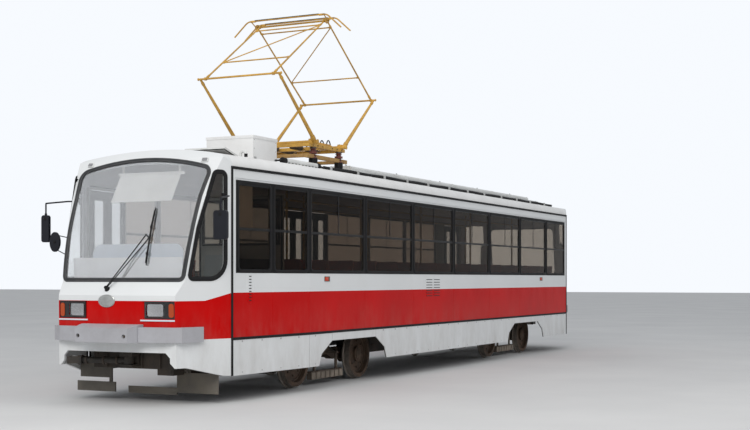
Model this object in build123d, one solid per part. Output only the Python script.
from build123d import *
import os
from math import sin, cos, tan, radians

# A single tram car on two swivelling bogies, in millimetres.
# Heights are taken from the rail head and lengths from the middle of the bogie pivots,
# with the front at -Y and the car's own left side at +X. Each solid is shifted at the
# end so that the flange tips stand on the floor and the origin is in the middle.

# Whole car
HALF_WIDTH = 1250
PIVOT_Y = 3750
REAR_SEAM = 6360
FRONT_REACH = -7950
REAR_REACH = 7770
FLANGE_DEPTH = 24
WALL = 40
CLEAR = 2

# The sides run straight up to the bend, then swing in towards the front by the taper
BEND_Y = -5100
TAPER = 3.6
FRONT_RUN = 1751.5
RUN_START = BEND_Y - FRONT_RUN

# Heights from the rail head
SKIRT_BOTTOM = 308
PANEL_BOTTOM = 766
FLOOR_TOP = 900
SILL = 1596
WINDOW_TOP = 2698
GUTTER = 2866
EAVES = 3010
CROWN = 3130
EAVES_RADIUS = 140

# Side windows and pillars
PILLARS = (-6768, -5979, BEND_Y, -3420, -1710, -20, 1690, 3360, 4970, 6240)
PILLAR_WIDTH = 80
WINDOW_CORNER = 70
GLASS = 8
GLASS_INSET = 4
GLASS_GAP = 3

# Doors on the car's right side: centre and number of leaves
DOORS = (("front", -6380, 2), ("middle", -865, 4), ("rear", 5800, 2))
LEAF_WIDTH = 390
LEAF_THICK = 34
LEAF_BOTTOM = 366
LEAF_TOP = 2660
LEAF_RECESS = 24
FOLD_GAP = 6
POST_GAP = 18
MEET_GAP = 2 * POST_GAP
DOOR_HEAD = 2698
FOLD_STAND = 8
POST_STAND = 12
PIN_INSET = 20
PIN_RADIUS = 5
PIN_FIT = 0.05
LUG_RADIUS = 9

HINGE_LEVELS = (620, 1500, 2400)
HINGE_LENGTH = 90
HINGE_GAP = 2
POST_LEVELS = (820, 1500, 2400)
LUG_HEIGHT = 20
LEAF_WINDOW = (1150, 2550)
LEAF_FRAME = 60
GUIDE_PIN_UP = 30
GUIDE_GAP = 12
RAIL_OFFSET = 8
RAIL_THICK = 4

# Steps inside the doorways
STEP_TREADS = (350, 625)
STEP_DEPTH = 250
STEP_THICK = 25

# Wheel arches in the skirts
ARCH_FOOT = 1078
ARCH_KNEE = 1000
ARCH_KNEE_UP = 470
ARCH_TOP_HALF = 693
ARCH_TOP = 640
SKIRT_THICK = 25
SKIRT_GAP = 8
SKIRT_TOP = 760

# Roof hatch: its hole, the lid's tilt and the hinge behind the hole
HATCH = (-300, 300, -5740, -5410)
HATCH_TILT = 15
HATCH_LIP = 22
HATCH_AXIS = (-5395, CROWN + 25)
HATCH_LID = (CROWN + 13, CROWN + 37)
HATCH_PIN = 8
HATCH_LUG = 14

# Windows in the rear end: x and height of the back one, y of the side ones
TAIL_WINDOW = (-760, 760, 1560, 2640)
TAIL_SIDE_WINDOW = (6480, 7010)

# Floor and underframe
FLOOR_THICK = 40
FRAME_TOP = 855
FRAME_DEPTH = 110
SILL_BEAM_X = 560
SILL_BEAM_WIDTH = 120
SIDE_GAP = 5
FRONT_PLATE = ((-7290, -7250), 395)

# Front end: a bowed face, turned about a far upright axis, cut by the plan outline
FACE_Y = -7705
FACE_BOW = 8600
FACE_HALF = 870
FACE_CORNER_Y = -7660
FACE_SWEEP = 11
APRON_EDGE = 620
APRON_HALF = 790
APRON_SPLAY = 60
APRON_CORNER = 440
APRON_SIDE = 320
HOOD_EDGE = 1300
GLASS_FOOT = (-7580, 1470)
GLASS_MID = (-7415, 2180)
GLASS_HEAD = (-7055, 2990)
BROW_END = (-6750, CROWN)
ROOF_START = -6620

# Windscreen half-widths by height, its crown and its corners
SCREEN_SIDES = ((1487, 889), (2000, 923), (2500, 942), (2850, 985))
SCREEN_CROWN = 2985
SCREEN_CORNERS = (60, 110)

# Lamp pockets in the front face: x, heights and depths from the face
POCKET = (396, 860, 1020, 1232)
POCKET_DEPTH = 26
BEZEL = (440, 856, 1026, 1227)
BEZEL_DEPTH = 10
HEAD_LENS = (457, 710, 1043, 1207)
TURN_LENS = (777, 845, 1040, 1205)
LENS_DEPTH = 3
LENS_GAP = 1

# Front bumper: plan of a wing, plan and side view of the centre block, its bolt holes
WING = ((1029, -7300), (951, -7640), (800, -7725), (433, -7795))
WING_LEVELS = (746, 925)
NOSE_PLAN = ((386, FRONT_REACH), (433, -7820), (433, -7690))
NOSE_SIDE = ((FRONT_REACH, 744), (FRONT_REACH, 916), (-7760, 957), (-7650, 957), (-7650, 744))
NOSE_BOLTS = (338, 821, 26, 14)

# Rear end, built the same way
TAIL_Y = 7270
TAIL_BOW = 6000
TAIL_HALF = 920
TAIL_CORNER_Y = 7200
TAIL_WAIST = (7270, 1330)
TAIL_SILL = (7205, 1480)
TAIL_HEAD = (7010, 2800)
TAIL_CROWN = (6700, CROWN)

# Wheels and bogies
AXLE_OFFSET = 970
TREAD_RADIUS = 355
BACK_FACE = 720
WHEEL_WIDTH = 112
FLANGE_THICK = 30
AXLE_RADIUS = 70
AXLE_FIT = 0.05
BEAM_X = 560
BEAM_WIDTH = 116
CENTRE_PIN = 60
CENTRE_PIN_FIT = 0.05
BOWL_RADIUS = 180
BOWL_TOP = 640
BOSS_GAP = 5

# Pantograph
PANTO_Y = -3400
FOOT_SPREAD = 450
FOOT_UP = 3500
LOWER_ARM = 1340
UPPER_ARM = 1790
LOWER_ANGLE = 39.4
ARM_RATIO = 0.8635
LOWER_X = 650
FRONT_UPPER_X = 560
REAR_UPPER_X = 605
SHAFT_RADIUS = 14
SHAFT_FIT = 0.05
TUBE_WALL = 4
HEAD_GAP = 20
STRIP_HALF = 550
STRIP_SPREAD = 150
STRIP_RISE = 80
HORN_HALF = 920
HORN_DROP = 150

# Couplers
COUPLER_UP = 500
FRONT_COUPLER_Y = -7400
FRONT_COUPLER_LENGTH = 790
FRONT_COUPLER_REST = 77
REAR_COUPLER_Y = 6800
EYE_RADIUS = 60
EYE_HALF = 45
FORK_HALF = 50
HEAD_LENGTH = 190
DRAWBAR_RADIUS = 38
COUPLER_PIN = 22
COUPLER_PIN_FIT = 0.05
HEAD_BORE = 20

INNER = HALF_WIDTH - WALL
WELL_EDGE = HALF_WIDTH - SKIRT_THICK - 2 * STEP_DEPTH
LEAF_FACE = HALF_WIDTH - LEAF_RECESS
PIN_LINE = LEAF_FACE + POST_STAND
SEAM_HALF = HALF_WIDTH - FRONT_RUN * sin(radians(TAPER))
FRONT_SEAM = BEND_Y - FRONT_RUN * cos(radians(TAPER))
END_SHIFT = -(FRONT_REACH + REAR_REACH) / 2
PLACE = Pos(0, END_SHIFT, FLANGE_DEPTH)
os.makedirs("parts", exist_ok=True)


def save(name, *solids):
    """Write one node, moved from the rail frame to the part's own frame."""
    flat = []
    for item in solids:
        flat.extend(item.solids())
    moved = [PLACE * solid for solid in flat]
    export_step(moved[0] if len(moved) == 1 else Compound(children=moved), f"parts/{name}.step")


def block(x, y, z):
    """A plain box from three (low, high) pairs."""
    size = [abs(pair[1] - pair[0]) for pair in (x, y, z)]
    middle = [(pair[0] + pair[1]) / 2 for pair in (x, y, z)]
    return Pos(*middle) * Box(*size)


def rod(start, end, radius):
    """A round bar between two points."""
    a, b = Vector(*start), Vector(*end)
    plane = Plane(origin=a, z_dir=b - a)
    return extrude(plane * Circle(radius), (b - a).length)


def taper_rod(start, end, radius_start, radius_end):
    """A round bar that narrows from one point to the other."""
    a, b = Vector(*start), Vector(*end)
    plane = Plane(origin=a, z_dir=b - a)
    far = Plane(origin=b, z_dir=b - a, x_dir=plane.x_dir)
    return loft([plane * Circle(radius_start), far * Circle(radius_end)])


def bent_rod(points, radius, bend):
    """A round bar along straight runs joined by arcs."""
    path = FilletPolyline(*points, radius=bend)
    start = Plane(origin=path @ 0, z_dir=path % 0)
    return sweep(start * Circle(radius), path=path)


def from_side(points, x0, x1):
    """An outline of (y, height) points, spread along X."""
    face = make_face(Polyline(*[(x0, y, z) for y, z in points], close=True))
    return extrude(face, x1 - x0, dir=(1, 0, 0))


def from_front(points, y0, y1):
    """An outline of (x, height) points, spread along Y."""
    face = make_face(Polyline(*[(x, y0, z) for x, z in points], close=True))
    return extrude(face, y1 - y0, dir=(0, 1, 0))


def from_above(points, z0, z1):
    """A plan outline of (x, y) points, raised along Z."""
    face = make_face(Polyline(*[(x, y, z0) for x, y in points], close=True))
    return extrude(face, z1 - z0, dir=(0, 0, 1))


def mirror_x(shape):
    return mirror(shape, about=Plane.YZ)


def swing(shape, side):
    """Turn something built straight along one side in about that side's bend."""
    return shape.rotate(Axis((side * HALF_WIDTH, BEND_Y, 0), (0, 0, 1)), -side * TAPER)


def bend(shape, side):
    """Swing only what lies ahead of the bend and join it to the rest."""
    if shape.bounding_box().min.Y > BEND_Y - 1:
        return shape
    if shape.bounding_box().max.Y < BEND_Y + 1:
        return swing(shape, side)
    ahead = shape & block((-2 * HALF_WIDTH, 2 * HALF_WIDTH), (FRONT_REACH, BEND_Y), (-100, 4500))
    behind = shape & block((-2 * HALF_WIDTH, 2 * HALF_WIDTH), (BEND_Y, REAR_REACH), (-100, 4500))
    return behind + swing(ahead, side)


def swung(x, y, side):
    """Where a plan point built straight comes to lie."""
    turn = radians(-side * TAPER)
    dx, dy = x - side * HALF_WIDTH, y - BEND_Y
    return side * HALF_WIDTH + dx * cos(turn) - dy * sin(turn), BEND_Y + dx * sin(turn) + dy * cos(turn)


def section(inset, bottom, width=HALF_WIDTH):
    """The body's cross-section, as a face in X and height."""
    half = width - inset
    sides = Polyline((-half, EAVES - inset), (-half, bottom), (half, bottom), (half, EAVES - inset))
    crown = ThreePointArc((half, EAVES - inset), (0, CROWN - inset), (-half, EAVES - inset))
    face = make_face(sides + crown)
    tops = face.vertices().group_by(Axis.Y)[-1]
    return fillet(tops, EAVES_RADIUS - inset)


def body_prism(inset, bottom, y0, y1):
    return extrude(Plane.XZ.offset(-y0) * section(inset, bottom), -(y1 - y0))


def front_prism(inset, bottom):
    """The narrowing body from the bend to beyond the front."""
    tip = FRONT_REACH - 50
    width = HALF_WIDTH - (BEND_Y - tip) * tan(radians(TAPER))
    faces = [Plane.XZ.offset(-BEND_Y) * section(inset, bottom), Plane.XZ.offset(-tip) * section(inset, bottom, width)]
    return loft(faces, ruled=True)


def body_volume(inset, bottom):
    """The whole body between the far front and the rear seam."""
    return body_prism(inset, bottom, BEND_Y, REAR_SEAM) + front_prism(inset, bottom)


def front_profile(inset):
    """The front's centre line from the side, drawn at x = 0."""
    back = ROOF_START
    foot = (FACE_Y + 20 + inset, SKIRT_BOTTOM - 50)
    waist = (FACE_Y + inset, HOOD_EDGE)
    glass = [(y + inset, z) for y, z in (GLASS_FOOT, GLASS_MID, GLASS_HEAD)]
    crown = (BROW_END[0] + inset, CROWN + 60)
    lines = Polyline((back, foot[1]), foot, waist, glass[0])
    lines += ThreePointArc(*glass)
    lines += Line(glass[2], crown)
    lines += Polyline(crown, (back, CROWN + 60), (back, foot[1]))
    return make_face(lines)


def end_plan(seam, seam_half, corner_y, half, inset, bottom):
    """The end's angled faces in plan, run on outside the sides and past the corners."""
    slope = (seam_half - half) / (corner_y - seam)
    way = 1 if corner_y > seam else -1
    wide, ahead = HALF_WIDTH + 100, 420
    outline = [(wide, seam - way * 1000), (wide, seam - (wide - seam_half) / slope)]
    outline.append((half - slope * way * ahead, corner_y + way * ahead))
    outline += [(-x, y) for x, y in reversed(outline)]
    face = make_face(Polyline(*outline, close=True))
    face = offset(face, -inset, kind=Kind.INTERSECTION) if inset else face
    return extrude(Pos(0, 0, bottom) * face, CROWN + 100 - bottom)


def front_volume(inset, bottom=SKIRT_BOTTOM, back=FRONT_SEAM):
    """The front end as a full body up to the given back plane, drawn in by the inset."""
    axis = Axis((0, FACE_Y + FACE_BOW, 0), (0, 0, 1))
    face = Plane.YZ * front_profile(inset)
    wedge = revolve(face.rotate(axis, -FACE_SWEEP), axis, 2 * FACE_SWEEP)
    solid = wedge & front_prism(inset, bottom)
    solid &= end_plan(FRONT_SEAM, SEAM_HALF, FACE_CORNER_Y, FACE_HALF, inset, bottom)
    return solid & block((-2 * HALF_WIDTH, 2 * HALF_WIDTH), (FRONT_REACH, back), (bottom, CROWN + 50))


def rear_profile(inset):
    back = REAR_SEAM - 400
    foot = (TAIL_Y - inset, SKIRT_BOTTOM - 50)
    points = [(y - inset, z) for y, z in (TAIL_WAIST, TAIL_SILL, TAIL_HEAD)]
    crown = (TAIL_CROWN[0] - inset, CROWN + 40)
    return make_face(Polyline((back, foot[1]), foot, *points, crown, (back, CROWN + 40), close=True))


def rear_volume(inset, bottom=SKIRT_BOTTOM):
    """The rear end as a full body, drawn in by the inset."""
    axis = Axis((0, TAIL_Y - TAIL_BOW, 0), (0, 0, 1))
    sweep_angle = 15
    face = Plane.YZ * rear_profile(inset)
    wedge = revolve(face.rotate(axis, -sweep_angle), axis, 2 * sweep_angle)
    solid = wedge & end_plan(REAR_SEAM, HALF_WIDTH, TAIL_CORNER_Y, TAIL_HALF, inset, bottom)
    return solid & body_prism(inset, bottom, REAR_SEAM, REAR_SEAM + 1100)


def rounded_slot(y0, y1, z0, z1, x0, x1, corner):
    """A rounded window shape in the side, spread along X."""
    face = RectangleRounded(y1 - y0, z1 - z0, corner)
    plane = Plane(origin=(x0, (y0 + y1) / 2, (z0 + z1) / 2), x_dir=(0, 1, 0), z_dir=(1, 0, 0))
    return extrude(plane * face, x1 - x0)


def front_slot(span, side, corner, grow=0):
    """A rounded lamp shape in the front, spread along Y; the span is x and heights."""
    x0, x1, z0, z1 = span
    face = RectangleRounded(x1 - x0 + 2 * grow, z1 - z0 + 2 * grow, corner + grow)
    plane = Plane(origin=(side * (x0 + x1) / 2, FACE_Y - 100, (z0 + z1) / 2), x_dir=(1, 0, 0), z_dir=(0, -1, 0))
    return extrude(plane * face, -300)


def windscreen_outline(shrink=0):
    """The windscreen seen from the front: its sides spread upwards to an arched head."""
    right = [(half, z) for z, half in SCREEN_SIDES]
    left = [(-x, z) for x, z in reversed(right)]
    arch = ThreePointArc(right[-1], (0, SCREEN_CROWN), left[0])
    face = make_face(Polyline(*left, *right) + arch)
    low, high = SCREEN_CORNERS
    face = fillet(face.vertices().group_by(Axis.Y)[0], low)
    face = fillet(face.vertices().group_by(Axis.Y)[-1], high)
    return offset(face, -shrink) if shrink else face


def corner_window_outline(shrink=0):
    """The angled corner window seen from the side, in y and height."""
    low, head, rear = 1500, 2800, -6945
    points = ((-7470, low), (-7342, 2103), (-7100, head), (rear, head), (rear, low))
    face = make_face(Polyline(*points, close=True))
    lows = face.vertices().group_by(Axis.Y)[0].sort_by(Axis.X)
    face = fillet(lows[-1], 230)
    face = fillet(face.vertices().group_by(Axis.Y)[0].sort_by(Axis.X)[0], 45)
    face = fillet(face.vertices().group_by(Axis.Y)[-1], 60)
    return offset(face, -shrink) if shrink else face


def corner_window(shrink=0):
    """The corner window's opening, kept to a strip that follows the angled face."""
    along = Vector(SEAM_HALF - FACE_HALF, FRONT_SEAM - FACE_CORNER_Y).normalized()
    outward = Vector(along.Y, -along.X)
    seam = Vector(SEAM_HALF, FRONT_SEAM)
    near, far = seam - along * 900, seam + along * 50
    corners = [near + outward * 50, far + outward * 50, far - outward * (WALL + 5), near - outward * (WALL + 5)]
    strip = from_above([(corner.X, corner.Y) for corner in corners], SILL - 200, CROWN)
    return extrude(Plane.YZ.offset(FACE_HALF - 60) * corner_window_outline(shrink), 500) & strip


def door_span(centre, leaves):
    """The clear opening in the wall for a door of so many leaves."""
    pairs = leaves // 2
    length = leaves * LEAF_WIDTH + pairs * FOLD_GAP + 2 * POST_GAP + (pairs - 1) * MEET_GAP
    return centre - length / 2, centre + length / 2


DOOR_SPANS = {name: door_span(centre, leaves) for name, centre, leaves in DOORS}


def door_pairs():
    """Each folding pair: its name, the wall edge it hangs from and the way it runs."""
    front, middle, rear = DOOR_SPANS["front"], DOOR_SPANS["middle"], DOOR_SPANS["rear"]
    return (("door_front", front[1], -1), ("door_middle_fore", middle[0], 1),
            ("door_middle_aft", middle[1], -1), ("door_rear", rear[0], 1))


def window_spans(doors=False):
    """The side windows between pillars, leaving out the ones that doors take."""
    spans = []
    for start, end in zip(PILLARS, PILLARS[1:]):
        low, high = start + PILLAR_WIDTH / 2, end - PILLAR_WIDTH / 2
        taken = [s for s in DOOR_SPANS.values() if doors and s[0] < high and s[1] > low]
        if not taken:
            spans.append((low, high))
    return spans


def make_left_wall():
    wall = block((INNER, HALF_WIDTH), (RUN_START, REAR_SEAM), (PANEL_BOTTOM, GUTTER))
    for low, high in window_spans():
        wall -= rounded_slot(low, high, SILL, WINDOW_TOP, INNER - 5, HALF_WIDTH + 5, WINDOW_CORNER)
    return bend(wall, 1)


def post_lugs(edge, direction):
    """Lugs on a door jamb that hold the post leaf's pins, one at each hinge level."""
    y = edge + direction * (POST_GAP + PIN_INSET)
    root = edge - direction * LUG_RADIUS
    lugs = []
    for level in POST_LEVELS:
        lug = block((-PIN_LINE - LUG_RADIUS, -PIN_LINE + LUG_RADIUS), sorted((root, y)), (level - LUG_HEIGHT, level))
        lug += upright(-PIN_LINE, y, level - LUG_HEIGHT, level, LUG_RADIUS)
        lugs.append(lug - upright(-PIN_LINE, y, level - LUG_HEIGHT - 1, level + 1, PIN_RADIUS + PIN_FIT))
    return lugs


def make_right_wall():
    edges = [RUN_START]
    for span in DOOR_SPANS.values():
        edges.extend(span)
    edges.append(REAR_SEAM)
    pieces = []
    for low, high in zip(edges[0::2], edges[1::2]):
        piece = block((-HALF_WIDTH, -INNER), (low, high), (PANEL_BOTTOM, GUTTER))
        for start, end in window_spans(doors=True):
            if start > low and end < high:
                piece -= rounded_slot(start, end, SILL, WINDOW_TOP, -HALF_WIDTH - 5, -INNER + 5, WINDOW_CORNER)
        for name, edge, direction in door_pairs():
            if edge in (low, high):
                for lug in post_lugs(edge, direction):
                    piece += lug
        pieces.append(piece)
    for low, high in DOOR_SPANS.values():
        head = block((-HALF_WIDTH, -INNER), (low + 1, high - 1), (DOOR_HEAD, GUTTER))
        rail_top = DOOR_HEAD + 1
        for side in (-1, 1):
            rail = sorted((-PIN_LINE + side * RAIL_OFFSET, -PIN_LINE + side * (RAIL_OFFSET + RAIL_THICK)))
            head += block(rail, (low + 1, high - 1), (LEAF_TOP + GUIDE_GAP, rail_top))
        pieces.append(head)
    return [bend(piece, -1) for piece in pieces]


def make_windows():
    outer = HALF_WIDTH - GLASS_INSET
    panes = []
    for side, doors in ((1, False), (-1, True)):
        for low, high in window_spans(doors):
            pane = rounded_slot(low + GLASS_GAP, high - GLASS_GAP, SILL + GLASS_GAP, WINDOW_TOP - GLASS_GAP,
                                outer - GLASS, outer, WINDOW_CORNER - GLASS_GAP)
            panes.append(bend(pane if side > 0 else mirror_x(pane), side))
    return panes


def make_skirts(side):
    """Skirt panels along one side, broken at the arches and, on the right, at the doors."""
    outer, inner = HALF_WIDTH, HALF_WIDTH - SKIRT_THICK
    cuts = []
    for pivot in (-PIVOT_Y, PIVOT_Y):
        cuts.append(from_side([(pivot - ARCH_FOOT, SKIRT_BOTTOM - 5), (pivot - ARCH_KNEE, ARCH_KNEE_UP),
                               (pivot - ARCH_TOP_HALF, ARCH_TOP), (pivot + ARCH_TOP_HALF, ARCH_TOP),
                               (pivot + ARCH_KNEE, ARCH_KNEE_UP), (pivot + ARCH_FOOT, SKIRT_BOTTOM - 5)],
                              inner - 5, outer + 5))
    breaks = [RUN_START, BEND_Y, -PIVOT_Y - ARCH_TOP_HALF, -PIVOT_Y + ARCH_TOP_HALF, 0,
              PIVOT_Y - ARCH_TOP_HALF, PIVOT_Y + ARCH_TOP_HALF, REAR_SEAM]
    panels = []
    for low, high in zip(breaks, breaks[1:]):
        spans = [(low + SKIRT_GAP / 2, high - SKIRT_GAP / 2)]
        if side < 0:
            for start, end in DOOR_SPANS.values():
                spans = [part for a, b in spans for part in
                         (((a, min(b, start)), (max(a, end), b)) if a < end and b > start else ((a, b),))]
        for a, b in spans:
            if b - a < 20:
                continue
            panel = block((inner, outer), (a, b), (SKIRT_BOTTOM, SKIRT_TOP))
            for cut in cuts:
                panel -= cut
            panel = bend(panel if side > 0 else mirror_x(panel), side)
            panels.extend(panel.solids())
    return panels


def lamp_pocket():
    """The hollow for one pair of lamps, with a slanted wall on its inner side."""
    x0, x1, z0, z1 = POCKET
    pocket = block((x0, x1), (FACE_Y - 60, FACE_Y + 120), (z0, z1)) - front_volume(POCKET_DEPTH)
    surface, floor = FACE_Y + 6, FACE_Y + POCKET_DEPTH + 14
    return pocket - from_above([(x0 - 5, surface - 4), (BEZEL[0] - 2, floor), (x0 - 5, floor)], z0, z1)


def make_front_mask():
    mask = front_volume(0) - front_volume(WALL, SKIRT_BOTTOM - 10)
    mask -= extrude(Plane.XZ.offset(-FRONT_REACH) * windscreen_outline(), -900)
    pane = corner_window()
    mask = mask - pane - mirror_x(pane)
    half, splay = APRON_HALF, APRON_SPLAY
    opening = [(-half - splay, 0), (-half - splay, APRON_CORNER), (-half, APRON_CORNER + splay),
               (-half, APRON_EDGE - splay), (-half + splay, APRON_EDGE)]
    opening += [(-x, z) for x, z in reversed(opening)]
    mask -= from_front(opening, FRONT_REACH, FRONT_SEAM + 5)
    slope = from_side([(-7900, 0), (-7900, APRON_CORNER), (-7500, APRON_CORNER), (-6980, APRON_SIDE),
                       (FRONT_SEAM + 5, APRON_SIDE - 8), (FRONT_SEAM + 5, 0)], APRON_HALF - 10, HALF_WIDTH + 5)
    mask = mask - slope - mirror_x(slope)
    pocket = lamp_pocket()
    mask = mask - pocket - mirror_x(pocket)
    return max(mask.solids(), key=lambda solid: solid.volume)


def make_front_glass():
    band = front_volume(GLASS_INSET) - front_volume(GLASS_INSET + GLASS)
    screen = band & extrude(Plane.XZ.offset(-FRONT_REACH) * windscreen_outline(GLASS_GAP), -900)
    corner = band & corner_window(GLASS_GAP)
    corner = max(corner.solids(), key=lambda solid: solid.volume)
    screen = max(screen.solids(), key=lambda solid: solid.volume)
    return screen, corner


def tail_window(shrink=0):
    low_x, high_x, low, high = TAIL_WINDOW
    face = RectangleRounded(high_x - low_x - 2 * shrink, high - low - 2 * shrink, 120 - shrink)
    plane = Plane(origin=((low_x + high_x) / 2, REAR_REACH, (low + high) / 2), x_dir=(1, 0, 0), z_dir=(0, -1, 0))
    return extrude(plane * face, 1000)


def tail_side_window(shrink=0):
    low, high = TAIL_SIDE_WINDOW
    return rounded_slot(low + shrink, high - shrink, SILL + shrink, WINDOW_TOP - shrink,
                        TAIL_HALF - 20, HALF_WIDTH + 5, WINDOW_CORNER)


def make_rear_cap():
    cap = rear_volume(0) - rear_volume(WALL, SKIRT_BOTTOM - 10)
    cap -= tail_window()
    cap = cap - tail_side_window() - mirror_x(tail_side_window())
    cap -= block((-APRON_HALF, APRON_HALF), (REAR_SEAM - 5, REAR_REACH), (0, APRON_EDGE))
    return max(cap.solids(), key=lambda solid: solid.volume)


def make_rear_glass():
    band = rear_volume(GLASS_INSET) - rear_volume(GLASS_INSET + GLASS)
    back = max((band & tail_window(GLASS_GAP)).solids(), key=lambda solid: solid.volume)
    side = max((band & tail_side_window(GLASS_GAP)).solids(), key=lambda solid: solid.volume)
    return back, side


def make_roof():
    shells = []
    for inset, bottom, back in ((0, GUTTER + 1, REAR_SEAM), (WALL, GUTTER, REAR_SEAM + 5)):
        end = front_volume(inset, bottom, ROOF_START) & block((-1300, 1300), (FRONT_SEAM - 5 * (inset > 0), ROOF_START),
                                                              (0, 4000))
        middle = front_prism(inset, bottom) & block((-1300, 1300), (ROOF_START, BEND_Y), (0, 4000))
        shells.append(end + middle + body_prism(inset, bottom, BEND_Y, back))
    roof = shells[0] - shells[1]
    x0, x1, y0, y1 = HATCH
    roof -= block((x0, x1), (y0, y1), (GUTTER, CROWN + 50))
    roof = max(roof.solids(), key=lambda solid: solid.volume)
    y, z = HATCH_AXIS
    for side in (-1, 1):
        plate = sorted((side * 240, side * 262))
        roof += block(plate, (y - HATCH_LUG, y + HATCH_LUG), (CROWN - 25, z))
        roof += rod((plate[0], y, z), (plate[1], y, z), HATCH_LUG)
        roof -= rod((plate[0] - 1, y, z), (plate[1] + 1, y, z), HATCH_PIN + PIN_FIT)
    return roof


def make_floor():
    """The floor, in strips that leave the doorways open."""
    inner = INNER - SIDE_GAP
    level = (FLOOR_TOP - FLOOR_THICK, FLOOR_TOP)
    start = RUN_START + 20
    knee = BEND_Y + (HALF_WIDTH - WELL_EDGE) * tan(radians(TAPER / 2))
    outline = [(-WELL_EDGE, REAR_SEAM), (-WELL_EDGE, knee), swung(-WELL_EDGE, start, -1), swung(inner, start, 1),
               (inner, BEND_Y), (inner, REAR_SEAM)]
    strips = [from_above(outline, *level)]
    edges = [start]
    for span in DOOR_SPANS.values():
        edges.extend(span)
    edges.append(REAR_SEAM)
    for low, high in zip(edges[0::2], edges[1::2]):
        strips.append(bend(block((-inner, -WELL_EDGE - 1), (low, high), level), -1))
    return strips


def make_steps():
    """Two treads with their risers in each doorway."""
    wells = []
    outer = HALF_WIDTH - SKIRT_THICK
    first, second = STEP_TREADS
    middle, inside, under = outer - STEP_DEPTH, WELL_EDGE + 3, FLOOR_TOP - FLOOR_THICK - 2
    for low, high in DOOR_SPANS.values():
        outline = [(-outer, first - STEP_THICK), (-outer, first), (-middle, first), (-middle, second),
                   (-inside - STEP_THICK, second), (-inside - STEP_THICK, under), (-inside, under),
                   (-inside, second - STEP_THICK), (-middle + STEP_THICK, second - STEP_THICK),
                   (-middle + STEP_THICK, first - STEP_THICK)]
        wells.append(bend(from_front(outline, low + 4, high - 4), -1))
    return wells


def upright(x, y, low, high, radius=PIN_RADIUS):
    return rod((x, y, low), (x, y, high), radius)


def make_leaf(free):
    """A door leaf along +Y from y = 0, its outer face at x = 0. The post leaf has its post
    pins outside and its fold pins inside; the free leaf's guide pin is in line with the post pins."""
    leaf = block((-LEAF_THICK, 0), (0, LEAF_WIDTH), (LEAF_BOTTOM, LEAF_TOP))
    leaf -= rounded_slot(LEAF_FRAME, LEAF_WIDTH - LEAF_FRAME, *LEAF_WINDOW, -LEAF_THICK - 5, 5, 40)
    half = HINGE_LENGTH / 2
    fold_x = -LEAF_THICK - FOLD_STAND
    for level in HINGE_LEVELS:
        if free:
            y, near, span = -FOLD_GAP / 2, 40, (level + HINGE_GAP, level + half)
        else:
            y, near, span = LEAF_WIDTH + FOLD_GAP / 2, LEAF_WIDTH - 40, (level - half, level - HINGE_GAP)
        leaf += upright(fold_x, y, *span)
        leaf += block((fold_x + 2, -LEAF_THICK), (min(y, near), max(y, near)), span)
    if free:
        y = LEAF_WIDTH - PIN_INSET
        leaf += block((-PIN_INSET, POST_STAND), (y - PIN_INSET, y + LUG_RADIUS), (LEAF_TOP, LEAF_TOP + 6))
        leaf += upright(POST_STAND, y, LEAF_TOP, LEAF_TOP + GUIDE_PIN_UP)
        leaf += upright(POST_STAND, y, LEAF_TOP, LEAF_TOP + 6, LUG_RADIUS)
        return leaf
    for level in POST_LEVELS:
        low, high = level + HINGE_GAP, level + LUG_HEIGHT
        leaf += block((0, POST_STAND), (PIN_INSET - LUG_RADIUS, PIN_INSET + LUG_RADIUS), (low, high))
        leaf += upright(POST_STAND, PIN_INSET, low, high, LUG_RADIUS)
        leaf += upright(POST_STAND, PIN_INSET, level - LUG_HEIGHT - 8, high)
    return leaf


def place_leaf(leaf, edge, direction):
    """Set a leaf on the right side, its hinge edge at the given y, running up or down in Y."""
    outward = mirror_x(leaf)
    if direction < 0:
        outward = mirror(outward, about=Plane.XZ)
    return Pos(-LEAF_FACE, edge, 0) * outward


def make_doors():
    for name, edge, direction in door_pairs():
        first = edge + direction * POST_GAP
        second = first + direction * (LEAF_WIDTH + FOLD_GAP)
        save(f"{name}_post_leaf", bend(place_leaf(make_leaf(False), first, direction), -1))
        save(f"{name}_free_leaf", bend(place_leaf(make_leaf(True), second, direction), -1))


def make_underframe():
    """Two long sills, cross beams, the end beams and the two bolsters with their bosses."""
    low, high = FRAME_TOP - FRAME_DEPTH, FRAME_TOP
    start, end = FRONT_COUPLER_Y - EYE_RADIUS, REAR_COUPLER_Y + EYE_RADIUS
    outer = SILL_BEAM_X + SILL_BEAM_WIDTH / 2
    frame = None
    for side in (-1, 1):
        x = side * SILL_BEAM_X
        beam = block((x - SILL_BEAM_WIDTH / 2, x + SILL_BEAM_WIDTH / 2), (start, end), (low, high))
        frame = beam if frame is None else frame + beam
    for y in (start + 60, -5600, -2300, -900, 900, 2300, 5300, end - 60):
        frame += block((-outer, outer), (y - 60, y + 60), (low, high))
    for pivot in (-PIVOT_Y, PIVOT_Y):
        frame += block((-outer, outer), (pivot - 220, pivot + 220), (low, high))
        boss = Pos(0, pivot, BOWL_TOP + BOSS_GAP) * Cylinder(
            BOWL_RADIUS - 20, FRAME_TOP - BOWL_TOP - BOSS_GAP, align=(Align.CENTER, Align.CENTER, Align.MIN))
        frame += boss
        frame -= upright(0, pivot, BOWL_TOP, FRAME_TOP - 40, CENTRE_PIN + CENTRE_PIN_FIT)
    frame += block((-outer, outer), FRONT_PLATE[0], (FRONT_PLATE[1], high))
    frame += coupler_bracket(FRONT_COUPLER_Y, 1)
    frame += coupler_bracket(REAR_COUPLER_Y, -1)
    return frame


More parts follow.
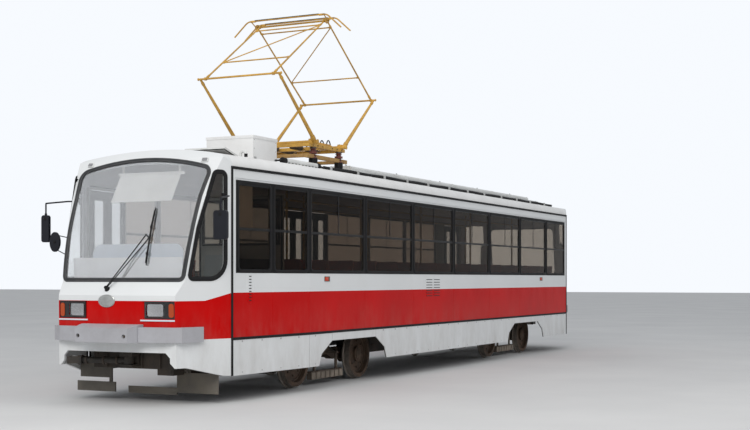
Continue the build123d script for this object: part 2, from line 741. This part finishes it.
def coupler_bracket(y, inward):
    """A fork under the frame that holds a drawbar's upright pin."""
    web = sorted((y + inward * (EYE_RADIUS + 15), y + inward * (EYE_RADIUS + 45)))
    plate = sorted((y - inward * EYE_RADIUS, y + inward * (EYE_RADIUS + 45)))
    under = FRAME_TOP - FRAME_DEPTH + 5
    fork = block((-90, 90), web, (COUPLER_UP - FORK_HALF - 25, under))
    fork += block((-90, 90), plate, (COUPLER_UP - FORK_HALF - 25, COUPLER_UP - FORK_HALF))
    fork += block((-90, 90), plate, (COUPLER_UP + FORK_HALF, under))
    fork += upright(0, y, COUPLER_UP - FORK_HALF - 30, COUPLER_UP + FORK_HALF + 5, COUPLER_PIN)
    return fork


def make_coupler(y, toward, length, turn):
    """A drawbar with an eye at its pin, a funnel head and a bore for the coupling bolt."""
    coupler = rod((0, 0, 0), (0, length - HEAD_LENGTH + 10, 0), DRAWBAR_RADIUS)
    coupler += upright(0, 0, -EYE_HALF, EYE_HALF, EYE_RADIUS)
    coupler += block((-75, 75), (length - HEAD_LENGTH, length), (-EYE_HALF, EYE_HALF))
    coupler -= upright(0, 0, -EYE_HALF - 5, EYE_HALF + 5, COUPLER_PIN + COUPLER_PIN_FIT)
    coupler -= upright(0, length - 80, -EYE_HALF - 5, EYE_HALF + 5, HEAD_BORE)
    if toward < 0:
        coupler = mirror(coupler, about=Plane.XZ)
    return Pos(0, y, COUPLER_UP) * Rot(0, 0, turn) * coupler


def make_bogie(pivot):
    """An inside frame: two side beams with axle bearings, a bolster with a bowl and centre
    pin, and two motors lying along the bogie with their gear cases on the axles."""
    frame = None
    half_length = AXLE_OFFSET + 150
    for side in (-1, 1):
        x0, x1 = side * BEAM_X - BEAM_WIDTH / 2, side * BEAM_X + BEAM_WIDTH / 2
        outline = [(-half_length, 300), (-half_length, 420), (-500, 420), (-320, 520), (320, 520), (500, 420),
                   (half_length, 420), (half_length, 300), (500, 300), (320, 380), (-320, 380), (-500, 300)]
        beam = from_side(outline, x0, x1)
        for axle in (-AXLE_OFFSET, AXLE_OFFSET):
            beam += rod((x0, axle, TREAD_RADIUS), (x1, axle, TREAD_RADIUS), 130)
        frame = beam if frame is None else frame + beam
    frame += block((-BEAM_X, BEAM_X), (-190, 190), (400, BOWL_TOP - 60))
    frame += upright(0, 0, 400, BOWL_TOP, BOWL_RADIUS)
    for axle, x in ((-1, 230), (1, -230)):
        low, high = sorted((axle * 240, axle * 720))
        frame += rod((x, low, TREAD_RADIUS + 30), (x, high, TREAD_RADIUS + 30), 170)
        frame += rod((x, axle * 190, 430), (x, axle * 300, 430), 110)
        frame += rod((x - 100, axle * AXLE_OFFSET, TREAD_RADIUS), (x + 100, axle * AXLE_OFFSET, TREAD_RADIUS), 190)
        frame += rod((x, axle * 700, TREAD_RADIUS + 20), (x, axle * (AXLE_OFFSET - 100), TREAD_RADIUS + 20), 110)
    for axle in (-AXLE_OFFSET, AXLE_OFFSET):
        frame -= rod((-BEAM_X - 200, axle, TREAD_RADIUS), (BEAM_X + 200, axle, TREAD_RADIUS), AXLE_RADIUS + AXLE_FIT)
    frame += upright(0, 0, BOWL_TOP - 10, FRAME_TOP - 50, CENTRE_PIN)
    return Pos(0, pivot, 0) * frame


def make_track_brakes(pivot):
    """A long magnet block over each rail, hung from the side beam on two brackets."""
    brakes = []
    middle = BACK_FACE + WHEEL_WIDTH / 2 - 14
    for side in (-1, 1):
        brake = block((side * middle - 35, side * middle + 35), (-480, 480), (60, 175))
        inner = side * (BEAM_X + BEAM_WIDTH / 2)
        low, high = sorted((inner, side * (middle + 30)))
        for y in (-330, 330):
            brake += block((low, high), (y - 25, y + 25), (400, 425))
            near, far = sorted((side * (middle - 12), side * (middle + 12)))
            brake += block((near, far), (y - 25, y + 25), (150, 425))
        brakes.append(Pos(0, pivot, 0) * brake)
    return brakes


def make_wheelset(y):
    """An axle with two dished wheels, each with a tread and an inside flange."""
    tread, tip = TREAD_RADIUS, TREAD_RADIUS + FLANGE_DEPTH
    back, face = BACK_FACE, BACK_FACE + WHEEL_WIDTH
    hub = 120
    outline = Polyline((back - 20, 0), (back - 20, hub), (back + 18, hub), (back + 30, tread - 70), (back, tread - 60),
                       (back, tip - 8), (back + 8, tip), (back + FLANGE_THICK - 8, tip), (back + FLANGE_THICK, tread),
                       (face, tread - 3), (face, tread - 60), (back + 55, tread - 70), (back + 60, hub),
                       (face - 15, hub), (face - 15, 0), close=True)
    wheel = revolve(Plane.XY * make_face(outline), Axis.X, 360)
    axle = rod((-back, 0, 0), (back, 0, 0), AXLE_RADIUS)
    return Pos(0, y, TREAD_RADIUS) * (wheel + mirror_x(wheel) + axle)


def arm_end(sign, alpha, beta):
    """Knee and head points of one side of the pantograph, seen from the side."""
    foot = (PANTO_Y + sign * FOOT_SPREAD, FOOT_UP)
    knee = (foot[0] + sign * LOWER_ARM * cos(radians(alpha)), FOOT_UP + LOWER_ARM * sin(radians(alpha)))
    head = (knee[0] - sign * UPPER_ARM * cos(radians(beta)), knee[1] + UPPER_ARM * sin(radians(beta)))
    return foot, knee, head


def along(start, end, share):
    return tuple(a + share * (b - a) for a, b in zip(start, end))


def make_lower_arm(sign):
    """Two tapered tubes on a turning shaft, with the knee shaft across their tops."""
    foot, knee, _ = arm_end(sign, LOWER_ANGLE, LOWER_ANGLE * ARM_RATIO)
    arm = rod((-LOWER_X - 40, *foot), (LOWER_X + 40, *foot), 26)
    arm += rod((-LOWER_X - 30, *knee), (LOWER_X + 30, *knee), SHAFT_RADIUS)
    for x in (-LOWER_X, LOWER_X):
        arm += taper_rod((x, *foot), (x, *knee), 30, 17)
    near, far = along(foot, knee, 0.03), along(foot, knee, 0.97)
    for x in (-LOWER_X, LOWER_X):
        arm -= taper_rod((x, *near), (x, *far), 30 - TUBE_WALL, 17 - TUBE_WALL)
    return arm


def make_upper_arm(sign):
    """Two slim tubes with eyes on the knee shaft, a cross tie and one diagonal."""
    _, knee, head = arm_end(sign, LOWER_ANGLE, LOWER_ANGLE * ARM_RATIO)
    spread = FRONT_UPPER_X if sign < 0 else REAR_UPPER_X
    arm = None
    for x in (-spread, spread):
        tube = taper_rod((x, *knee), (x, *head), 13, 11)
        tube += rod((x - 16, *knee), (x + 16, *knee), SHAFT_RADIUS + 9)
        tube += rod((x - 12, *head), (x + 12, *head), SHAFT_RADIUS + (9 if sign < 0 else HEAD_GAP + 9))
        arm = tube if arm is None else arm + tube
    low, high = along(knee, head, 0.3), along(knee, head, 0.92)
    for place in (low, high):
        arm += rod((-spread, *place), (spread, *place), 10)
    arm += rod((-spread, *low), (spread, *high), 8)
    arm -= rod((-spread - 60, *knee), (spread + 60, *knee), SHAFT_RADIUS + SHAFT_FIT)
    gap = SHAFT_FIT if sign < 0 else HEAD_GAP
    arm -= rod((-spread - 60, *head), (spread + 60, *head), SHAFT_RADIUS + gap)
    return arm


def make_head():
    """The head: its pivot tube, two contact strips on end frames and drooping horns."""
    _, _, head = arm_end(-1, LOWER_ANGLE, LOWER_ANGLE * ARM_RATIO)
    z = head[1]
    top = z + STRIP_RISE
    shape = rod((-REAR_UPPER_X - 30, head[0], z), (REAR_UPPER_X + 30, head[0], z), SHAFT_RADIUS)
    for side in (-1, 1):
        x = side * (REAR_UPPER_X + 22)
        for way in (-1, 1):
            y_strip = head[0] + way * STRIP_SPREAD
            shape += rod((x, head[0], z), (x, y_strip, top - 12), 8)
    for way in (-1, 1):
        y_strip = head[0] + way * STRIP_SPREAD
        bow = [(-HORN_HALF, y_strip, top - HORN_DROP - 80), (-STRIP_HALF - 130, y_strip, top - 14),
               (STRIP_HALF + 130, y_strip, top - 14), (HORN_HALF, y_strip, top - HORN_DROP - 80)]
        shape += bent_rod(bow, 11, 150)
        shape += block((-STRIP_HALF, STRIP_HALF), (y_strip - 20, y_strip + 20), (top - 20, top))
    return shape


def make_panto_base():
    """A rectangular tube frame with bearing blocks for the two turning shafts."""
    low = FOOT_UP - 70
    base = None
    for x in (-LOWER_X + 60, LOWER_X - 60):
        beam = block((x - 25, x + 25), (PANTO_Y - 560, PANTO_Y + 560), (low, low + 50))
        base = beam if base is None else base + beam
    for y in (PANTO_Y - 535, PANTO_Y + 535, PANTO_Y):
        base += block((-LOWER_X + 60, LOWER_X - 60), (y - 25, y + 25), (low, low + 50))
    for sign in (-1, 1):
        y = PANTO_Y + sign * FOOT_SPREAD
        for x in (-LOWER_X + 60, LOWER_X - 60):
            base += block((x - 25, x + 25), (y - 45, y + 45), (low, FOOT_UP + 42))
    for sign in (-1, 1):
        y = PANTO_Y + sign * FOOT_SPREAD
        base -= rod((-LOWER_X, y, FOOT_UP), (LOWER_X, y, FOOT_UP), 26 + SHAFT_FIT)
    return base


def make_insulators():
    """Four ribbed insulators under the base frame, standing on the roof walkway's side."""
    posts = []
    top = FOOT_UP - 70
    for x in (-LOWER_X + 60, LOWER_X - 60):
        for y in (PANTO_Y - 400, PANTO_Y + 400):
            foot = EAVES + 80
            post = upright(x, y, foot, top, 38)
            for level in (0.25, 0.5, 0.75):
                middle = foot + level * (top - foot)
                post += upright(x, y, middle - 14, middle + 14, 62)
            posts.append(post - body_volume(0, GUTTER + 1))
    return posts


def make_walkway():
    """The long equipment cover along the roof, seated on the crown."""
    cover = from_front([(-500, EAVES), (-500, 3240), (-470, 3270), (470, 3270), (500, 3240), (500, EAVES)], -2400, 6000)
    return cover - body_volume(0, GUTTER + 1)


def make_roof_unit():
    """The tall electrical box ahead of the pantograph."""
    outline = [(-5130, EAVES), (-5130, 3400), (-5060, 3480), (-4560, 3480), (-4490, 3400), (-4490, EAVES)]
    unit = from_side(outline, -380, 380)
    return unit - body_volume(0, GUTTER + 1)


def make_hatch():
    """The roof hatch's lid, propped open at its front edge, with its two hinge pins."""
    x0, x1, y0, y1 = HATCH
    y, z = HATCH_AXIS
    lid = block((x0 - HATCH_LIP, x1 + HATCH_LIP), (y0 - HATCH_LIP, y1 - 5), HATCH_LID)
    for side in (-1, 1):
        arm = sorted((side * 170, side * 230))
        lid += block(arm, (y1 - 40, y), (z - 8, z + 8))
        lid += rod((arm[0], y, z), (arm[1], y, z), HATCH_LUG)
        lid += rod((side * 170, y, z), (side * 275, y, z), HATCH_PIN)
    return lid.rotate(Axis((0, y, z), (1, 0, 0)), -HATCH_TILT)


def make_bumpers():
    wing = [*WING, *[(-x, y) for x, y in reversed(WING)]]
    wing += [(-880, WING[0][1]), (-700, -7500), (700, -7500), (880, WING[0][1])]
    nose = [*NOSE_PLAN, *[(-x, y) for x, y in reversed(NOSE_PLAN)]]
    half = NOSE_PLAN[1][0]
    front = from_above(wing, *WING_LEVELS)
    front += from_above(nose, NOSE_SIDE[0][1], NOSE_SIDE[2][1]) & from_side(NOSE_SIDE, -half, half)
    front -= front_volume(-CLEAR)
    front = max(front.solids(), key=lambda solid: solid.volume)
    x, z, radius, depth = NOSE_BOLTS
    for side in (-1, 1):
        front -= rod((side * x, FRONT_REACH - 1, z), (side * x, FRONT_REACH + depth, z), radius)
    rear = from_above([(-1040, 7130), (-960, 7380), (960, 7380), (1040, 7130), (985, 7130), (910, 7300), (600, 7180),
                       (-600, 7180), (-910, 7300), (-985, 7130)], 750, 910)
    rear -= rear_volume(-CLEAR)
    rear = max(rear.solids(), key=lambda solid: solid.volume)
    return front, rear


def make_lamps():
    """Head lamps, turn lamps, tail lamps and their bezels, seated in the front pockets."""
    bezels, clear, amber, red = [], [], [], []
    back = front_volume(POCKET_DEPTH - 1)
    plate, lens = front_volume(BEZEL_DEPTH) - back, front_volume(LENS_DEPTH) - back
    for side in (-1, 1):
        bezel = front_slot(BEZEL, side, 8) & plate
        bezel = bezel - front_slot(HEAD_LENS, side, 30, LENS_GAP) - front_slot(TURN_LENS, side, 30, LENS_GAP)
        bezels.append(max(bezel.solids(), key=lambda solid: solid.volume))
        clear.append(front_slot(HEAD_LENS, side, 30) & lens)
        amber.append(front_slot(TURN_LENS, side, 30) & lens)
        stop = block(sorted((side * 560, side * 860)), (7100, 7400), (1060, 1200)) & rear_volume(-20)
        red.append(stop - rear_volume(-1))
    return bezels, clear, amber, red


def make_seats():
    """Moulded single seats on pedestals, facing forward, along both sides."""
    seats = []
    outline = [(-230, 0), (-230, 40), (190, 40), (250, 470), (290, 465), (235, 0)]
    rows_left = [-5300 + 780 * n for n in range(15)]
    rows_right = [-5300 + 780 * n for n in (0, 1, 2, 3, 8, 9, 10, 11, 12)]
    for x, rows in ((860, rows_left), (-860, rows_right)):
        for y in rows:
            level = FLOOR_TOP + 400
            seat = from_side([(y + a, level + b) for a, b in outline], x - 215, x + 215)
            seat += block((x - 40, x + 40), (y - 60, y + 100), (FLOOR_TOP + 1, level + 5))
            seats.append(seat)
    driver = from_side([(-6100 + a, FLOOR_TOP + 450 + b) for a, b in outline], 80, 520)
    driver += block((260, 340), (-6140, -6020), (FLOOR_TOP + 1, FLOOR_TOP + 455))
    return seats + [driver]


def make_poles():
    poles = []
    for y in (-4450, -2110, 230, 2570, 4910):
        for x in (-520, 520):
            poles.append(upright(x, y, FLOOR_TOP + 1, GUTTER - 20, 17))
    return poles


def make_cab():
    """The cab's partition, the desk and the blank route board behind the windscreen."""
    wall = block((-150, 1165), (-5660, -5630), (FLOOR_TOP + 1, 2600))
    wall -= block((-90, 1105), (-5665, -5625), (1960, 2540))
    room = front_volume(WALL + 3, 400, FRONT_SEAM + 150)
    desk = from_side([(-7520, 1000), (-7520, 1410), (-7300, 1450), (-6900, 1330), (-6900, 1250), (-7250, 1330),
                      (-7250, 1000)], -780, 780) & room
    board = block((-830, 800), (-7425, -7410), (1515, 1760)) & room
    return wall, desk, board


def make_cases():
    """Equipment cases under the floor between the bogies, and one behind the front plate."""
    cases = []
    for y, length, x, width in ((-1700, 700, 330, 560), (-800, 700, 330, 560), (150, 900, 330, 560),
                                (1300, 900, 330, 560), (450, 1100, -330, 480), (1500, 500, -330, 480)):
        case = block((x - width / 2, x + width / 2), (y - length / 2, y + length / 2), (330, FRAME_TOP - FRAME_DEPTH))
        cases.append(fillet(case.edges().filter_by(Axis.Y), 20))
    low = block((310, 545), (-7240, -7010), (317, 520))
    cases.append(low + block((310, 660), (-7240, -7010), (510, FRAME_TOP - FRAME_DEPTH)))
    return cases


def make_guards():
    """Guard plates across the track ahead of the front wheels, on hangers."""
    plate = from_front([(-310, 60), (430, 60), (430, 90), (1035, 90), (1035, 340), (430, 340), (430, 150), (-310, 150)],
                       -7000, -6985)
    for x in (520, 600):
        plate += block((x - 15, x + 15), (-6985, -6960), (150, FRAME_TOP - FRAME_DEPTH))
    board = block((-1030, -430), (-7110, -7090), (76, 200))
    board += block((-540, -500), (-7090, -7065), (100, FRAME_TOP - FRAME_DEPTH))
    board += block((-1000, -500), (-7085, -7070), (250, 460))
    return plate, board


def make_mirrors():
    """A tall mirror on a tube at each front corner and a small round one at the right."""
    mirrors = []
    body = front_volume(0, SKIRT_BOTTOM, FRONT_SEAM)
    for side, reach in ((1, 95), (-1, 60)):
        head = block((side * 1320 - reach, side * 1320 + reach), (-7395, -7355), (1965, 2310))
        head = fillet(head.edges().filter_by(Axis.Y), 35)
        arm = bent_rod([(side * 1020, -6960, 2500), (side * 1230, -7060, 2500), (side * 1320, -7375, 2460),
                        (side * 1320, -7376, 2290)], 10, 3)
        arm = max((arm - body).solids(), key=lambda solid: solid.volume)
        mirrors.append(head + arm)
    x, y, z = -1110, -7460, 1965
    disc = extrude(Plane(origin=(x, y, z), x_dir=(1, 0, 0), z_dir=(0, 1, 0)) * Ellipse(80, 125), 25)
    for level, end in ((z + 90, 2000), (z - 90, 1750)):
        stay = rod((x, y + 20, level), (-860, -7390, end), 6) - body
        disc += max(stay.solids(), key=lambda solid: -solid.center().X)
    mirrors.append(disc)
    return mirrors


def face_y(x, z):
    """The front face's y at a place on it, by height between the glass foot, middle and head."""
    points = (GLASS_FOOT, GLASS_MID, GLASS_HEAD)
    centre = 0
    for y_here, z_here in points:
        share = 1
        for y_other, z_other in points:
            if z_other != z_here:
                share *= (z - z_other) / (z_here - z_other)
        centre += share * y_here
    if z < GLASS_FOOT[1]:
        centre = FACE_Y + (GLASS_FOOT[0] - FACE_Y) * (z - HOOD_EDGE) / (GLASS_FOOT[1] - HOOD_EDGE)
    radius = FACE_Y + FACE_BOW - centre
    return FACE_Y + FACE_BOW - (radius ** 2 - x ** 2) ** 0.5


def make_wiper():
    """A wiper with two parallel arm rods, an upright blade and a pivot boss on the hood."""
    def stand(x, z, off):
        return (x, face_y(x, z) - off, z)

    foot = Vector(-130, face_y(-130, 1372), 1372)
    outward = Vector(0, HOOD_EDGE - GLASS_FOOT[1], GLASS_FOOT[0] - FACE_Y).normalized()
    wiper = rod(foot + outward, foot + outward * 48, 22)
    wiper += rod(foot + outward * 38, stand(330, 2040, 36), 7)
    wiper += rod(foot + outward * 34 + Vector(12, 0, 0), stand(372, 1990, 36), 6)
    wiper += rod(stand(320, 2040, 36), stand(372, 1990, 28), 8)
    wiper += rod(stand(370, 1690, 24), stand(370, 2180, 24), 11)
    wiper += rod(stand(370, 2170, 25), stand(370, 2330, 24), 9)
    return wiper


def main():
    save("side_wall_left", make_left_wall())
    save("side_wall_right", *make_right_wall())
    save("skirts_left", *make_skirts(1))
    save("skirts_right", *make_skirts(-1))
    save("front_mask", make_front_mask())
    save("rear_cap", make_rear_cap())
    save("roof_shell", make_roof())
    save("side_windows", *make_windows())
    screen, corner = make_front_glass()
    save("windscreen", screen)
    back, side = make_rear_glass()
    save("end_windows", corner, mirror_x(corner), back, side, mirror_x(side))
    save("floor", *make_floor())
    save("door_steps", *make_steps())
    make_doors()
    save("underframe", make_underframe())
    save("front_coupler", make_coupler(FRONT_COUPLER_Y, -1, FRONT_COUPLER_LENGTH, -FRONT_COUPLER_REST))
    save("rear_coupler", make_coupler(REAR_COUPLER_Y, 1, REAR_REACH - REAR_COUPLER_Y, 0))
    axle = 1
    for name, pivot in (("front", -PIVOT_Y), ("rear", PIVOT_Y)):
        save(f"{name}_bogie_frame", make_bogie(pivot))
        save(f"{name}_track_brakes", *make_track_brakes(pivot))
        for offset_y in (-AXLE_OFFSET, AXLE_OFFSET):
            save(f"wheelset_{axle}", make_wheelset(pivot + offset_y))
            axle += 1
    for name, sign in (("front", -1), ("rear", 1)):
        save(f"pantograph_lower_{name}", make_lower_arm(sign))
        save(f"pantograph_upper_{name}", make_upper_arm(sign))
    save("pantograph_head", make_head())
    save("pantograph_base", make_panto_base())
    save("pantograph_insulators", *make_insulators())
    save("roof_walkway", make_walkway())
    save("roof_unit", make_roof_unit())
    save("roof_hatch", make_hatch())
    save("bumpers", *make_bumpers())
    bezels, clear, amber, red = make_lamps()
    save("lamp_bezels", *bezels)
    save("head_lamps", *clear)
    save("turn_lamps", *amber)
    save("tail_lamps", *red)
    save("seats", *make_seats())
    save("grab_poles", *make_poles())
    wall, desk, board = make_cab()
    save("cab_partition", wall)
    save("cab_desk", desk)
    save("route_board", board)
    save("underfloor_cases", *make_cases())
    save("guard_board", *make_guards())
    save("mirrors", *make_mirrors())
    save("wiper", make_wiper())


main()
